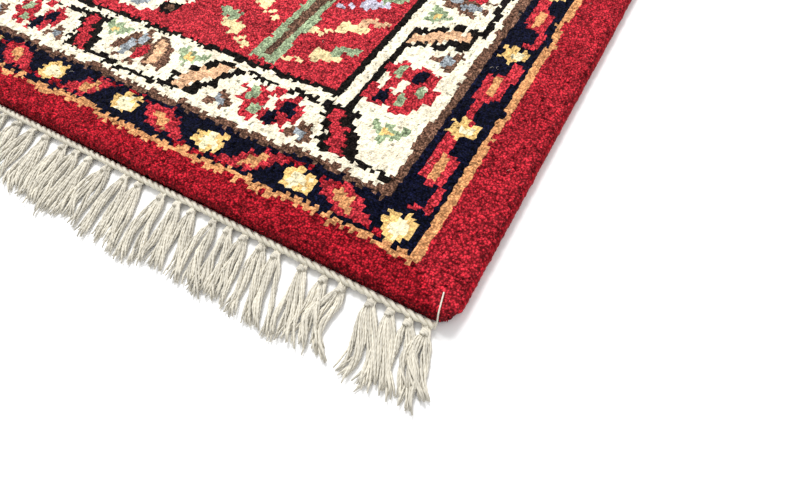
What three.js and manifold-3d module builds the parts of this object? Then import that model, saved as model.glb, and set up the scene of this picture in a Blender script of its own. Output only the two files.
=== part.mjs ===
// A small knotted pile rug lying flat: the pile body, an overcast selvedge along each side
// and a plaited end with knotted cotton tassels along each end.
// Sizes are in millimetres. X runs across the rug, Y along it and Z up from the floor.
import * as THREE from "three";
import { mergeVertices } from "three/addons/utils/BufferGeometryUtils.js";
import Module from "manifold-3d";

const RUG_WIDTH = 665;
const RUG_LENGTH = 924;
const RUG_THICK = 11;
const PILE_ROUND = 3.2;
const CORNER_RADIUS = 14;
const SEAM = 0.3;

const SELVEDGE_WIDE = 5;
const SELVEDGE_HIGH = 9;
const SELVEDGE_FOOT_RADIUS = 1;
const SELVEDGE_TOP_RADIUS = 2.3;
const SELVEDGE_SHORT = 5;
const SELVEDGE_END = { long: 3, inward: 0.8 };

const KNOT = { wide: 4.6, long: 4.8, high: 3.8, sunk: 1 };
const LOCKS = [
  { rootShift: -0.3, tipShift: -4, longer: 0 },
  { rootShift: 0, tipShift: 0, longer: 1.5 },
  { rootShift: 0.3, tipShift: 4, longer: -1.5 },
];
const LOCK_ROOT = { wide: 1.9, high: 3.2 };
const LOCK_FULL = { wide: 3, high: 2.4 };
const LOCK_TIP = { wide: 1.7, high: 1.2 };
const LOCK_STEPS = 2;
const ROUND_STEPS = 4;
const FRINGE_IN = 9;

// The plaited end seen along its length, out from the pile and up from the floor.
const BRAID = [
  { out: 0.6, up: 0 },
  { out: 4.4, up: 0 },
  { out: 5.2, up: 1.4 },
  { out: 4.7, up: 3.4 },
  { out: 2.6, up: 4.4 },
  { out: 0.5, up: 3.6 },
  { out: 0, up: 1.6 },
];
const BRAID_OUT = Math.max(...BRAID.map((row) => row.out));

// Tassels from the corner on: millimetres in from the side, degrees of lean to that side, length.
const CORNER_TASSELS = [
  { inward: 12.5, lean: 20, long: 33 },
  { inward: 22, lean: 21, long: 38 },
  { inward: 32, lean: 18, long: 40 },
  { inward: 43, lean: 14, long: 41 },
  { inward: 60, lean: 10, long: 37 },
  { inward: 71, lean: 11, long: 36 },
  { inward: 85, lean: 18, long: 41 },
  { inward: 102, lean: 21, long: 43 },
  { inward: 112, lean: 18, long: 43 },
  { inward: 124, lean: 15, long: 39 },
  { inward: 135, lean: 17, long: 40 },
  { inward: 146, lean: 20, long: 41 },
  { inward: 162, lean: 22, long: 41 },
  { inward: 173, lean: 18, long: 42 },
  { inward: 185, lean: 16, long: 44 },
  { inward: 204, lean: 20, long: 45 },
  { inward: 215, lean: 14, long: 43 },
  { inward: 231, lean: 10, long: 41 },
  { inward: 246, lean: 9, long: 42 },
  { inward: 258, lean: 12, long: 42 },
  { inward: 270, lean: 17, long: 43 },
  { inward: 287, lean: 22, long: 44 },
];
// Past the table the tassels go on like this, up to the far corner.
const REST_PITCH = { least: 11.5, spread: 5 };
const REST_LEAN = { least: 9, spread: 10 };
const REST_LONG = { least: 37, spread: 7 };

const WOOL_RED = 0xb3202b;
const WOOL_DARK_RED = 0x9c1a24;
const COTTON = 0xe4dfd0;

const wasm = await Module();
wasm.setup();

// A closed three.js geometry as a solid that can be added to or cut.
function toSolid(geometry) {
  const bare = geometry.clone();
  bare.deleteAttribute("normal");
  bare.deleteAttribute("uv");
  const joined = mergeVertices(bare, 1e-4);
  const mesh = new wasm.Mesh({
    numProp: 3,
    vertProperties: new Float32Array(joined.getAttribute("position").array),
    triVerts: new Uint32Array(joined.index.array),
  });
  return new wasm.Manifold(mesh);
}

// A solid back as a geometry.
function toGeometry(solid) {
  const mesh = solid.getMesh();
  const geometry = new THREE.BufferGeometry();
  const points = new THREE.BufferAttribute(new Float32Array(mesh.vertProperties), 3);
  geometry.setAttribute("position", points);
  geometry.setIndex(Array.from(mesh.triVerts));
  geometry.computeVertexNormals();
  return geometry;
}

function makeMesh(name, geometry, colour) {
  const material = new THREE.MeshStandardMaterial({ color: colour, roughness: 0.95 });
  const mesh = new THREE.Mesh(geometry, material);
  mesh.name = name;
  return mesh;
}

// The same uneven number from 0 to 1 for the same count each time.
function uneven(count, kind) {
  const wave = Math.sin(count * 12.9898 + kind * 78.233) * 43758.5453;
  return wave - Math.floor(wave);
}

// The tassels of one end in order, from the table and then from the uneven rest.
function tasselRows() {
  const rows = [...CORNER_TASSELS];
  const last = RUG_WIDTH - CORNER_TASSELS[0].inward;
  const pitch = (n) => REST_PITCH.least + REST_PITCH.spread * uneven(n, 1);
  let inward = rows[rows.length - 1].inward + pitch(0);
  for (let n = 1; inward < last; n += 1) {
    const lean = REST_LEAN.least + REST_LEAN.spread * uneven(n, 2);
    const long = REST_LONG.least + REST_LONG.spread * uneven(n, 3);
    rows.push({ inward, lean, long });
    inward += pitch(n);
  }
  return rows;
}

// A rectangle about the origin with rounded corners.
function roundedOutline(wide, long, radius) {
  const x = wide / 2;
  const y = long / 2;
  const outline = new THREE.Shape();
  outline.moveTo(-x + radius, -y);
  outline.lineTo(x - radius, -y);
  outline.absarc(x - radius, -y + radius, radius, -Math.PI / 2, 0);
  outline.lineTo(x, y - radius);
  outline.absarc(x - radius, y - radius, radius, 0, Math.PI / 2);
  outline.lineTo(-x + radius, y);
  outline.absarc(-x + radius, y - radius, radius, Math.PI / 2, Math.PI);
  outline.lineTo(-x, -y + radius);
  outline.absarc(-x + radius, -y + radius, radius, Math.PI, Math.PI * 1.5);
  return outline;
}

// A slab on the floor: square at the foot, rolled over at the top edges.
function rolledSlab(outline, high, round) {
  const slab = new THREE.ExtrudeGeometry(outline, {
    depth: high - round,
    bevelEnabled: true,
    bevelThickness: round,
    bevelSize: round,
    bevelOffset: -round,
    bevelSegments: ROUND_STEPS,
    curveSegments: ROUND_STEPS,
  });
  const below = new THREE.BoxGeometry(2 * RUG_WIDTH, 2 * RUG_LENGTH, 2 * round);
  below.translate(0, 0, -round);
  return toSolid(slab).subtract(toSolid(below));
}

function rugBody() {
  const wide = RUG_WIDTH - 2 * (SELVEDGE_WIDE + SEAM);
  const outline = roundedOutline(wide, RUG_LENGTH, CORNER_RADIUS - SELVEDGE_WIDE - SEAM);
  return toGeometry(rolledSlab(outline, RUG_THICK, PILE_ROUND));
}

// One overcast side: a soft upright cord with a flat foot and drawn-in ends, beside the pile.
function selvedge(side) {
  const x = SELVEDGE_WIDE / 2;
  const foot = SELVEDGE_FOOT_RADIUS;
  const top = SELVEDGE_TOP_RADIUS;
  const section = new THREE.Shape();
  section.moveTo(-x + foot, 0);
  section.lineTo(x - foot, 0);
  section.absarc(x - foot, foot, foot, -Math.PI / 2, 0);
  section.absarc(x - top, SELVEDGE_HIGH - top, top, 0, Math.PI / 2);
  section.absarc(-x + top, SELVEDGE_HIGH - top, top, Math.PI / 2, Math.PI);
  section.absarc(-x + foot, foot, foot, Math.PI, Math.PI * 1.5);
  const depth = RUG_LENGTH - 2 * (SELVEDGE_SHORT + SELVEDGE_END.long);
  const cord = new THREE.ExtrudeGeometry(section, {
    depth,
    bevelEnabled: true,
    bevelThickness: SELVEDGE_END.long,
    bevelSize: SELVEDGE_END.inward,
    bevelOffset: -SELVEDGE_END.inward,
    bevelSegments: 2,
    curveSegments: ROUND_STEPS,
  });
  cord.rotateX(Math.PI / 2);
  cord.translate(side * (RUG_WIDTH / 2 - x), depth / 2, 0);
  return cord;
}

// One lock of tassel threads: three sides with the flat one down, resting level on the floor.
function lock(root, lean, length, spread) {
  const geometry = new THREE.CylinderGeometry(1, 1, 1, 3, LOCK_STEPS);
  const points = geometry.getAttribute("position");
  const sideways = Math.sin(lean);
  const forward = Math.cos(lean);
  for (let i = 0; i < points.count; i += 1) {
    const along = points.getY(i) + 0.5;
    const swell = along < 1 ? Math.min(1, along / 0.6) : 0;
    const from = along < 1 ? LOCK_ROOT : LOCK_TIP;
    const wide = from.wide + swell * (LOCK_FULL.wide - from.wide);
    const high = from.high + swell * (LOCK_FULL.high - from.high);
    const across = points.getX(i) / Math.sin(Math.PI / 3);
    const up = (points.getZ(i) + 0.5) / 1.5;
    const x = root.x + spread * along + length * sideways * along;
    const y = root.y + length * forward * along;
    points.setXYZ(i, x + (across * wide) / 2, y, up * high);
  }
  return toSolid(geometry);
}

// The knot that gathers a tassel below the plait.
function knot(x) {
  const geometry = new THREE.BoxGeometry(KNOT.wide, KNOT.long, KNOT.high);
  geometry.translate(x, BRAID_OUT + KNOT.long / 2 - KNOT.sunk, KNOT.high / 2);
  return toSolid(geometry);
}

// One end's plait with its tassels, growing along +Y from the end of the pile.
function fringe() {
  const wide = RUG_WIDTH - 2 * FRINGE_IN;
  const section = new THREE.Shape(BRAID.map((row) => new THREE.Vector2(row.out, row.up)));
  const plait = new THREE.ExtrudeGeometry(section, { depth: wide, bevelEnabled: false });
  const turn = new THREE.Matrix4().makeBasis(
    new THREE.Vector3(0, 1, 0),
    new THREE.Vector3(0, 0, 1),
    new THREE.Vector3(1, 0, 0),
  );
  plait.applyMatrix4(turn);
  plait.translate(-wide / 2, 0, 0);
  const pieces = [toSolid(plait)];
  for (const { inward, lean, long } of tasselRows()) {
    const x = inward - RUG_WIDTH / 2;
    pieces.push(knot(x));
    for (const { rootShift, tipShift, longer } of LOCKS) {
      const root = { x: x + rootShift, y: BRAID_OUT - 1.5 };
      const turned = -THREE.MathUtils.degToRad(lean);
      pieces.push(lock(root, turned, long + longer, tipShift - rootShift));
    }
  }
  const geometry = toGeometry(wasm.Manifold.union(pieces));
  geometry.translate(0, RUG_LENGTH / 2 + SEAM, 0);
  return geometry;
}

const farFringe = fringe();
const nearFringe = farFringe.clone().rotateZ(Math.PI);

const group = new THREE.Group();
group.name = "knotted_rug";
group.add(makeMesh("rug_body", rugBody(), WOOL_RED));
group.add(makeMesh("selvedge_left", selvedge(-1), WOOL_DARK_RED));
group.add(makeMesh("selvedge_right", selvedge(1), WOOL_DARK_RED));
group.add(makeMesh("fringe_near", nearFringe, COTTON));
group.add(makeMesh("fringe_far", farFringe, COTTON));

export default group;
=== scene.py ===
# %% [markdown]
# # A knotted wool rug, knot by knot
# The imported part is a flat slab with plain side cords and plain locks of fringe.
# This lesson dresses it as the rug in the photograph: wool knots in a charted design,
# overcast sides, and plaited cotton ends with knotted tassels.
# Everything keeps the place and, but for loose tufts and threads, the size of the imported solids.

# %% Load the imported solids
import math

import bpy
import numpy as np
from mathutils import Matrix


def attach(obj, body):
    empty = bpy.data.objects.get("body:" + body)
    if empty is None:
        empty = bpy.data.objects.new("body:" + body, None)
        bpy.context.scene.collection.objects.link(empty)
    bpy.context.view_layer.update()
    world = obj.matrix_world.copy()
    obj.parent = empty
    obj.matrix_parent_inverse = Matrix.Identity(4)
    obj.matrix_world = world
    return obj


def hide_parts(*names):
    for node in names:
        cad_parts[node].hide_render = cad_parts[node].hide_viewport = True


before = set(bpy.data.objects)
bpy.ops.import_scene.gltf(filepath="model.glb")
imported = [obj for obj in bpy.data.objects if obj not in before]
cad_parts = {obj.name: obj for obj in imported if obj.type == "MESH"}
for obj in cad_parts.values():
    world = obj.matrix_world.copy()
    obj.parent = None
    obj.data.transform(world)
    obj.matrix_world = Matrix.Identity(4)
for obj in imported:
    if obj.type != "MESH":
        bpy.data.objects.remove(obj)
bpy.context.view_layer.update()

rng = np.random.default_rng(11)

# %% [markdown]
# ## Sizes
# A rug is counted before it is measured. The design is charted on 240 knots across and 396 rows along,
# and two rows are trimmed at each end where the plait is worked.
# Dividing the rug's size by the counts gives a knot a little wider than its row is tall,
# which is why the side borders in the photograph are wider than the end borders.

# %% Sizes
MM = 0.001
RUG_WIDTH = 665 * MM
RUG_LENGTH = 924 * MM
RUG_THICK = 11 * MM
SEAM = 0.3 * MM
SELVEDGE_WIDE = 5 * MM
COLS = 240
ROWS = 396
KNOT = RUG_WIDTH / COLS
TRIM = 2
ROW = RUG_LENGTH / (ROWS - 2 * TRIM)
print(f"one knot is {KNOT / MM:.2f} mm wide and {ROW / MM:.2f} mm along the rug")

# %% [markdown]
# ## Dyes
# A dyer keeps a short list of wools. Each has one letter here, so a chart can name it.
# Screens store colours bent by a curve, and light adds up straight, so one function unbends them.

# %% Dyes
DYES = {
    "r": "#d63b46",
    # 'd' and 'f' are one red wool: 'f' is its lighter copy, a painted sheen for the sides, and 'd' its
    # darker copy, painted shade for the ends.
    "d": "#b11d2b",
    "f": "#c02a37",
    "n": "#0d1029",
    "s": "#eeaa72",
    "b": "#84604e",
    "w": "#fff4da",
    "k": "#1d1715",
    "y": "#fbd085",
    "e": "#f8e2ac",
    "c": "#fdf0c8",
    "g": "#a9bb94",
    "p": "#a8b0b6",
    "t": "#efbf96",
    "l": "#d3cfe0",
}
LETTERS = "".join(DYES)


def linear(code):
    values = [int(code[i : i + 2], 16) / 255 for i in (1, 3, 5)]
    return [v / 12.92 if v <= 0.04045 else ((v + 0.055) / 1.055) ** 2.4 for v in values]


WOOLS = np.array([linear(code) for code in DYES.values()])
print(len(WOOLS), "wools:", LETTERS)

# %% [markdown]
# ## Charts
# Weavers read a motif from a chart with one letter for each knot. A dot leaves what is below.
# These charts are drawn a few knots at a time: a star, slanting leaves, a rosette,
# a palmette, trefoils and stepped ribbons are the common stock of such borders.

# %% Charts for the guard stripe
STAR = """
..yy..yy
.yyccyy.
yycccccy
.yccccyy
yycccccy
.yyccyyy
...yyy..
"""
CORNER_STAR = """
.yy.yy.
yyyyyyy
.yycccy
yyccccy
.yccccy
.ycccyy
yyyycy.
...yy..
"""
STAR_SIDE = """
..yy...
y.yy.y.
.yyyyyy
yyycccy
.yycccy
.yyyyyy
y.yyy..
...y...
"""
LEAF = """
........rrrrr.
........rrrrrr
.....rrrssrrr.
.....rrssssr..
....rrsssrr...
...rrrsssrr...
..rrrssrrr....
rrrrrrrrr.....
rr............
"""
BROAD_LEAF = """
.......rrrrrr.
......rrrrrrrr
....rrrrssrrrr
...rrrsssssrrr
...rrrssssrrr.
..rrrrsssrrr..
.rrrrssrrrr...
rrrrrrrrr.....
rrr...........
"""
BLOCK = """
rrr...
rrrr..
rrssrr
rrssrr
rrssrr
rrssrr
rrssrr
rrssrr
rrssrr
rrssrr
.rrrrr
..rrrr
"""
print("guard charts: star, corner star, side star, leaf, broad leaf, block")

# %% [markdown]
# The main border needs more charts. The rosette and the trefoil are drawn again for the side,
# where the photograph shows them differently. The other charts are turned when they are laid.

# %% Charts for the main border
RIBBON = """
kkkkkkkkkk.......
kkkrrrkkkk.......
.kkrrrrkkk.......
..krrrrkk........
.kkrrrkkkk.......
..kkrrrkkkk......
...kkrrrrkkk.....
....krrrrrkk.....
...kkrrrrkkkk....
....kkkrrrkkkk...
......krrrrkkk...
.....kkrrrrrkk...
....kkkrrrrkkkk..
......kkrrrrkkk..
......kkkrrrrkkkk
......kkkkkkkkkkk
"""
STEPS = """
.......kkkkkkkkkk
......kkktttttkkk
......kkktttt.kk.
......kk.tttkkk..
......kkttttkkk..
...kkkttttttkkk..
...kkktttttt.....
...kkkttttkkk....
....tttttt.kkk...
kkktttttt.kkkk...
kkktttttkkkkk....
kkktttt.kkk......
....ttttkkk......
.kkttttkkkk......
kkkttttkkkk......
kkkkkkkkkkk......
"""
ROSETTE = """
........rrr........
........rrr...r....
....rr..rrr..rrr...
....rr..rrr..rrr...
rrrgggrr...rrnnnrr.
.rrgggrrr..rrnnnrrr
..rgggrrr..rrnnnrrr
..rgggrrr...rnnnnrr
.rrggrrrr...rrnnnrr
..rrrrggrrrnnrrrnrr
....rrgggrrnnnrrrrr
....rrgggrrnnnnrr..
....rrrggrrnnnrrr..
.....rrrr...nn..rr.
.......rr..rrr.....
"""
ROSETTE_SIDE = """
...rr...rrr.....
...rr..rrrrr....
rrrggrrrnnnrrr..
rrrggrrrnnnrrr..
rrrggrrrnnnrrr..
.rrggrrrnnnrrr..
.rrrgrrrnnnrrr..
...rrr..rrr..rr.
...rrr..rrrggrrr
...rrr..rrrggrrr
...rrr..rrrggrrr
...rrr..rrrggrrr
rr.rr...rrrrgrrr
rrrnnrrrggrrrr..
rrrnnnrrggrrrr..
rrrnnnrrggrrrr..
rrrnnnrrggrrrr..
rrrnnnrrggrrr...
..rrrr..rrrrr...
...rrr..rrr.....
"""
PALMETTE = """
.....bb....bb......
.....bb...bbbb.....
..bbbppb..btttb....
..bbbpppb.btttbb...
..bbbpppbbbttttbb..
...bbpppbbbttttbb..
.bbppbbbrrbbtttbbb.
bbbpppbbrrrbbtttbbb
bbbpppbbrrrbbtttbbb
bbbpppbbrrrbbtttbbb
bb.pppbbrrrbbtttbbb
b...pp..rrr.bttbbbb
...bb...bb...bbb..b
...bb...bb.........
........bbb........
"""
TREFOIL = """
..bbb..
..bbb..
..ppbb.
bbpppbb
bbbppbb
bb..bbb
"""
TREFOIL_SIDE = """
.....bb.
.....bbb
...bbbbb
..bppbb.
bbbpppb.
bbbpppb.
...ppbb.
....bbb.
.....bb.
"""
SPRIG = """
gg.gg..gg
ggggggggg
.ggyygggg
.ggyyygg.
..ggggg..
...gg....
....g....
"""
print("border charts: ribbon, steps, two rosettes, palmette, two trefoils, sprig")

# %% [markdown]
# The field has branching stems and a bouquet. The bouquet is charted as one half and mirrored.

# %% Charts for the field
BRANCH = """
............tttttt
..........ttttttt.
..........tttttt..
..........ttt.tt..
..........ttt.....
......yyyyytyy....
......yyyyyyyy....
......yyyyyyy.....
......yyyyy.......
......yyy.........
...yy..yy.........
...yyy............
yyy...............
yyyy..............
"""
BOUQUET_HALF = """
ww..............
www.............
wpw.............
wppw...ww.......
wppw..wwww......
wppww.wppww.....
wppwwwwppw......
rwwwwkwppww.....
rrwwkkwwppw.....
rrrwkbbwwww.ww..
rrrwkbbkwwwwwww.
rrwwkbbkwwppwwww
rwwwkkkwwpppwww.
wwwwwwwwwppww...
wwppwwwwwwwwww..
pppwwwww.kkkkk..
ppppwwwwkkbbkk..
ppppwwwwkbbbbk..
ppppwwwwkkbbbk..
pppwwwww.kkbb...
ppwwwwww..kkk...
wwwwwww.........
wwwww...........
"""
print("field charts: branch, half bouquet")

# %% [markdown]
# ## Laying out the design
# The design is an array with one letter number for each knot. Rows count from the near end,
# and columns from the right side, because that corner is the one in the photograph.
# Bands are painted as rectangles inside each other. A weaver's lines waver by a knot here and there,
# so each edge gets a smooth wander. The two edges of a thin line have the same seed,
# so they wander together and the line stays whole. The red at the ends is painted darker than at the sides:
# painted shade at the ends, a painted sheen at the sides.

# %% Bands
SMOOTH_OVER = 9
SLOW_WANDER = 2.2
QUICK_WANDER = 0.2
END_SHADE_ROWS = 12.4
# Each band: its wool, knots in from the sides, rows in from the ends, size of the wander, seed.
BANDS = [
    ("f", 0, 0, 0, 1),
    ("s", 11.1, 10.6, 0.5, 2),
    ("n", 12.9, 12.5, 0.5, 2),
    ("b", 23.0, 22.9, 0.35, 3),
    ("w", 25.6, 25.0, 0.35, 3),
    ("k", 48.0, 46.4, 0.15, 4),
    ("r", 49.8, 48.0, 0.15, 4),
]
design = np.zeros((ROWS, COLS), int)
place_v, place_u = np.mgrid[0:ROWS, 0:COLS] + 0.5


def wander(count, size, source=rng):
    rough = source.normal(0, 1, count + SMOOTH_OVER - 1)
    smooth = np.convolve(rough, np.ones(SMOOTH_OVER) / SMOOTH_OVER, "valid")
    return size * (SLOW_WANDER * smooth + QUICK_WANDER * source.uniform(-1, 1, count))


def band(letter, in_u, in_v, size, seed):
    source = np.random.default_rng(seed)
    right = place_u >= in_u + wander(ROWS, size, source)[:, None]
    left = place_u < COLS - in_u + wander(ROWS, size, source)[:, None]
    near = place_v >= in_v + wander(COLS, size, source)[None, :]
    far = place_v < ROWS - in_v + wander(COLS, size, source)[None, :]
    design[right & left & near & far] = LETTERS.index(letter)


for row in BANDS:
    band(*row)
from_end = np.minimum(place_v, ROWS - place_v)
from_side = np.minimum(place_u, COLS - place_u)
# Painted shade: near the ends the side red 'f' is swapped for its darker copy 'd'.
ends = from_end < np.minimum(END_SHADE_ROWS, from_side)
design[ends & (design == LETTERS.index("f"))] = LETTERS.index("d")
print("bands:", " ".join(row[0] for row in BANDS))

# %% [markdown]
# A stamp lays a chart on the design by its middle column and top row, as the photograph shows it:
# columns then fall towards the right side, and rows fall towards the near end.
# Letters of a chart can be swapped, so branches take different wools, and a chart can be mirrored.

# %% Stamps and lines
END_WANDER = 0.55
SIDE_WANDER = 0.4


def grid(chart):
    return np.array([list(row) for row in chart.split()])


def stamp(chart, centre_u, top_v, swap="", mirror=False):
    cells = grid(chart) if isinstance(chart, str) else chart
    cells = cells[:, ::-1] if mirror else cells
    swaps = dict(zip(swap[::2], swap[1::2]))
    left_u = round(centre_u + cells.shape[1] / 2)
    for j, row in enumerate(cells):
        for i, letter in enumerate(row):
            v = round(top_v) - j
            u = left_u - i
            if letter != "." and 0 <= v < ROWS and 0 <= u < COLS:
                design[v, u] = LETTERS.index(swaps.get(letter, letter))


def line(cells, letter, start, stop, drift, thick):
    for n in range(max(0, round(start)), min(len(drift), round(stop))):
        cells[round(drift[n]) : round(drift[n] + thick), n] = LETTERS.index(letter)


def line_along_end(letter, from_u, to_u, v, thick=1.5):
    line(design, letter, from_u, to_u, v + wander(COLS, END_WANDER), thick)


def line_along_side(letter, from_v, to_v, u, thick=2.0):
    line(design.T, letter, from_v, to_v, u + wander(ROWS, SIDE_WANDER), thick)


print("a stamp of the star covers", grid(STAR).shape, "rows and knots")

# %% [markdown]
# ## The near end's border
# A thin black vine swings from the outer edge of the ivory band to its inner edge and back.
# It crosses over as a broad stepped ribbon, red one way and tan the other.
# Rosettes sit under the inner runs, palmettes stand on the outer runs.

# %% The near end's border
END_TOP = 43
OUTER_V = 27.6
INNER_V = 41.8
OUTER_RUNS = [(25, 33), (89, 113), (169, 215)]
INNER_RUNS = [(48, 73), (128, 153)]
for from_u, to_u in OUTER_RUNS:
    line_along_end("k", from_u, to_u, OUTER_V)
for from_u, to_u in INNER_RUNS:
    line_along_end("k", from_u, to_u, INNER_V)
END_MOTIFS = [
    (RIBBON, END_TOP, (40.7, 120.9)),
    (STEPS, END_TOP, (80.7, 161.0)),
    (ROSETTE, END_TOP - 1, (60.3, 140.6)),
    (PALMETTE, END_TOP + 1, (101.7, 182.0)),
    (TREFOIL, 33, (48.0, 71.8, 128.4, 152.3)),
    (SPRIG, END_TOP, (31.8, 88.8, 114.5, 168.8, 208.2)),
]
for chart, top_v, places in END_MOTIFS:
    for centre_u in places:
        stamp(chart, centre_u, top_v)

STAR_U = [17.4, 41.2, 65.1, 91.2, 116.4, 142.6, 169.0, 195.6, 222.6]
STAR_TOP = 19.6
CORNER_STAR_TOP = 20
LEAF_TOP = 21
LOW_TAIL_V = 13.2
HIGH_TAIL_V = 20.4
LOW_TAIL_GAP = 5
HIGH_TAIL_GAP = 4
for n, (here, there) in enumerate(zip(STAR_U, STAR_U[1:])):
    first = n % 2 == 0
    middle = (here + there) / 2
    stamp(BROAD_LEAF if first else LEAF, middle, LEAF_TOP, mirror=first)
    low_tail = (here, middle - LOW_TAIL_GAP) if first else (middle + LOW_TAIL_GAP, there)
    high_tail = (middle + HIGH_TAIL_GAP, there) if first else (here, middle - HIGH_TAIL_GAP)
    line_along_end("d", *low_tail, LOW_TAIL_V, thick=1)
    line_along_end("d", *high_tail, HIGH_TAIL_V, thick=1)
for centre_u in STAR_U[1:-1]:
    stamp(STAR, centre_u, STAR_TOP)
stamp(CORNER_STAR, STAR_U[0], CORNER_STAR_TOP)
stamp(CORNER_STAR, STAR_U[-1], CORNER_STAR_TOP)
print("end border:", sum(len(row[2]) for row in END_MOTIFS), "motifs and", len(STAR_U), "stars")

# %% [markdown]
# ## The right side's border
# Along the side the motifs stand turned a quarter, so their inner edge still faces the field.
# A rosette stands next to the corner at both ends, and palmettes and rosettes take turns between.
# In the dark stripe, a block with a tail at each end, one of them hooked, fills each gap between stars.

# %% The right side's border
TURNS = 7
HALF_TURN = 47
FIRST_ROSETTE = 56.8
CORNER_V = 43
INNER_U = 43.0
OUTER_U = 27.6
ROSETTE_U = 35.2
TREFOIL_U = 31
PALMETTE_U = 36
SPRIG_U = 40
CROSSING_U = 35.5
for n in range(TURNS):
    middle = FIRST_ROSETTE + HALF_TURN * n
    inside = n % 2 == 0
    last = n == TURNS - 1
    if inside:
        line_along_side("k", max(middle - 15, CORNER_V), min(middle + 18, ROWS - CORNER_V), INNER_U)
        stamp(ROSETTE_SIDE, ROSETTE_U, middle + 9.8)
        if n > 0:
            stamp(grid(TREFOIL_SIDE)[::-1], TREFOIL_U, middle - 11)
        if not last:
            stamp(TREFOIL_SIDE, TREFOIL_U, middle + 20)
    else:
        line_along_side("k", middle - 17, middle + 17, OUTER_U)
        stamp(np.rot90(grid(PALMETTE)), PALMETTE_U, middle + 9)
        for top in (18, -9):
            stamp(np.rot90(grid(SPRIG)), SPRIG_U, middle + top)
    if not last:
        turned = grid(STEPS)[:, ::-1].T[::-1] if inside else grid(RIBBON).T
        stamp(turned, CROSSING_U, middle + HALF_TURN / 2 + 9)

SIDE_STARS = 12
FIRST_STAR = 16.6
STAR_STEP = (ROWS - 2 * FIRST_STAR) / (SIDE_STARS - 1)
SIDE_STAR_U = 17.6
BLOCK_U = 17.2
# The two tails in a gap, by turns: first column, columns wide, first and last row after the star.
TAILS_FIRST = ((14, 2, 6, 14), (18, 3, 25, 31))
TAILS_SECOND = ((18, 2, 3.5, 13), (14, 3, 23, 30))
HOOK_FIRST = slice(14, 19)
HOOK_SECOND = slice(15, 20)
for n in range(SIDE_STARS):
    here = FIRST_STAR + STAR_STEP * n
    first = n % 2 == 0
    if n < SIDE_STARS - 1:
        tails = TAILS_FIRST if first else TAILS_SECOND
        for start_u, wide, low, high in tails:
            design[round(here + low) : round(here + high), start_u : start_u + wide] = LETTERS.index("r")
        design[round(here + tails[0][2]), HOOK_FIRST if first else HOOK_SECOND] = LETTERS.index("r")
        stamp(BLOCK, BLOCK_U, here + (25 if first else 24), mirror=not first)
    if 0 < n < SIDE_STARS - 1:
        stamp(STAR_SIDE, SIDE_STAR_U, here + 4)
print("side border:", TURNS, "turns of the vine, and", SIDE_STARS - 2, "stars between the corner stars")

# %% [markdown]
# ## The field
# Two leafy stems rise from the near end, with a bouquet between them. Only the foot of one stem
# and the edge of the bouquet show in the photograph, so the rest is a plain continuation:
# the branches repeat up the stem, and a stepped diamond with a star fills the middle.

# %% The field
STEM_U = 73
STEM_FOOT = 50
BRANCH_STEP = 14.5
BRANCH_DYES = ["yetg", "yett", "yltg", "yett", "yetg", "yltt", "yetg"]
BRANCH_OUT = 13.5
BRANCH_UP = 15
STEM_WANDER = 0.5
# The stem and its core: wool, half the width in knots, rows cut off at the foot and at the top.
STEM_WOOLS = (("g", 3.7, 0, 0), ("b", 1.5, 2, 3))
stem_top = round(STEM_FOOT + BRANCH_STEP * len(BRANCH_DYES) + 8)
for centre_u in (STEM_U, COLS - STEM_U):
    for letter, half, foot_cut, top_cut in STEM_WOOLS:
        left = wander(ROWS, STEM_WANDER)
        right = wander(ROWS, STEM_WANDER)
        for v in range(STEM_FOOT + foot_cut, stem_top - top_cut):
            low_u = round(centre_u - half + right[v])
            high_u = round(centre_u + half + left[v])
            design[v, low_u:high_u] = LETTERS.index(letter)
    for n, dyes in enumerate(BRANCH_DYES):
        top = STEM_FOOT + BRANCH_STEP * n + BRANCH_UP
        stamp(BRANCH, centre_u - BRANCH_OUT, top, dyes)
        stamp(BRANCH, centre_u + BRANCH_OUT, top, dyes, mirror=True)
    stamp(STAR, centre_u, stem_top + 6)

bouquet_half = grid(BOUQUET_HALF)
bouquet = np.hstack([bouquet_half[:, ::-1], bouquet_half])
# On the middle line, from the near end up: chart, knots off the line and top row.
MIDDLE_MOTIFS = [
    (bouquet, 0, 74),
    (SPRIG, -14, 96),
    (SPRIG, 14, 96),
    (PALMETTE, 0, 114),
    (TREFOIL, 0, 138),
]
for chart, off_u, top in MIDDLE_MOTIFS:
    stamp(chart, COLS / 2 + off_u, top)

DIAMOND = [("k", 1.0), ("w", 0.93), ("k", 0.74), ("n", 0.69)]
DIAMOND_HALF_U = 30
DIAMOND_HALF_V = 46
STEP = 3
stepped_u = np.floor(np.abs(place_u - COLS / 2) / STEP) * STEP + STEP / 2
stepped_v = np.floor(np.abs(place_v - ROWS / 2) / STEP) * STEP + STEP / 2
for letter, reach in DIAMOND:
    inside = stepped_u / DIAMOND_HALF_U + stepped_v / DIAMOND_HALF_V < reach
    design[inside] = LETTERS.index(letter)
big_star = np.repeat(np.repeat(grid(STAR), 2, 0), 2, 1)
stamp(big_star, COLS / 2, ROWS / 2 + 7)
print("field: stems end at row", stem_top)

# %% [markdown]
# The rug reads the same from both ends, so the far half is the near half turned half a turn.
# The right border is kept whole and the left border is its turned copy.
# Before the turn, the dark stripe at the near left corner is mirrored from the near right one.

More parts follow.
